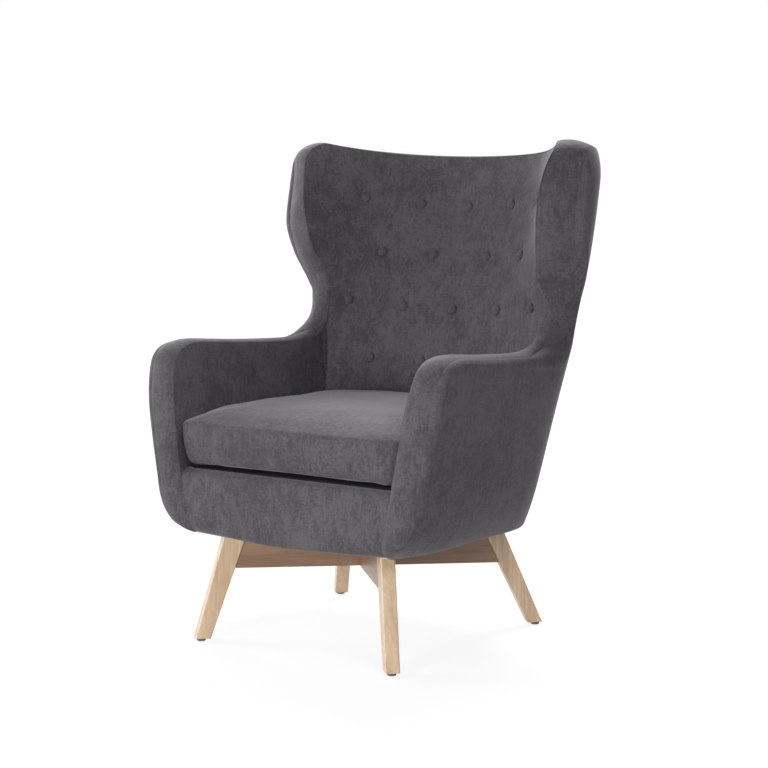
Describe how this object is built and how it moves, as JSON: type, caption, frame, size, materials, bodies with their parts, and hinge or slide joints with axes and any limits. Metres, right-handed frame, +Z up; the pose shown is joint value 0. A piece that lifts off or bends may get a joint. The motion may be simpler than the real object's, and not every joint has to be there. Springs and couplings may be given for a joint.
{
  "type": "wingback armchair",
  "caption": "Upholstered wingback armchair with a button-tufted rounded back, wings, banded arms, a loose lift-out seat cushion and a splayed timber cross base.",
  "frame": {"origin": "on the floor, under the middle of the chair's width and depth", "axes": "+Z up, -Y towards the front of the chair, +X across it"},
  "size_m": [0.7738, 0.8068, 1.04],
  "materials": {
    "velvet": "brushed velvet with a mottled nap, charcoal grey",
    "button_velvet": "the same velvet drawn over button shells",
    "oak": "pale oak under a satin lacquer",
    "birch": "planed birch and plywood, unfinished",
    "steel": "zinc-plated steel",
    "glide_plastic": "pale grey moulded plastic",
    "deck_cloth": "black deck cloth over foam",
    "lining": "black spun lining"
  },
  "bodies": {
    "chair": {"outer_back_cover": "velvet", "outer_side_cover_left": "velvet", "outer_side_cover_right": "velvet", "head_band": "velvet", "arm_band_left": "velvet", "arm_band_right": "velvet", "front_panel": "velvet", "inner_back_pad": "velvet", "inner_arm_pad_left": "velvet", "inner_arm_pad_right": "velvet", "back_button_1_1": "button_velvet", "back_button_1_2": "button_velvet", "back_button_1_3": "button_velvet", "back_button_1_4": "button_velvet", "back_button_1_5": "button_velvet", "back_button_2_1": "button_velvet", "back_button_2_2": "button_velvet", "back_button_2_3": "button_velvet", "back_button_2_4": "button_velvet", "back_button_3_1": "button_velvet", "back_button_3_2": "button_velvet", "back_button_3_3": "button_velvet", "back_button_3_4": "button_velvet", "back_button_3_5": "button_velvet", "back_button_4_1": "button_velvet", "back_button_4_2": "button_velvet", "back_button_4_3": "button_velvet", "back_button_4_4": "button_velvet", "arm_frame_left": "birch", "arm_frame_right": "birch", "wing_frame_left": "birch", "wing_frame_right": "birch", "back_top_rail": "birch", "back_lumbar_rail": "birch", "front_seat_rail": "birch", "rear_seat_rail": "birch", "side_seat_rail_left": "birch", "side_seat_rail_right": "birch", "front_mounting_slat": "birch", "rear_mounting_slat": "birch", "seat_spring_1": "steel", "seat_spring_2": "steel", "seat_spring_3": "steel", "base_bolt_front_left": "steel", "base_bolt_front_right": "steel", "base_bolt_rear_left": "steel", "base_bolt_rear_right": "steel", "seat_deck_pad": "deck_cloth", "dust_cover": "lining", "leg_front_left": "oak", "leg_front_right": "oak", "leg_rear_left": "oak", "leg_rear_right": "oak", "cross_rail_a": "oak", "cross_rail_b": "oak", "glide_front_left": "glide_plastic", "glide_front_right": "glide_plastic", "glide_rear_left": "glide_plastic", "glide_rear_right": "glide_plastic"},
    "cushion": {"seat_cushion": "velvet"}
  },
  "joints": [
    {"name": "cushion_lift", "type": "slide", "parent": "chair", "child": "cushion", "axis": [0, -0.8, 0.6], "range_m": [0, 0.7]}
  ]
}
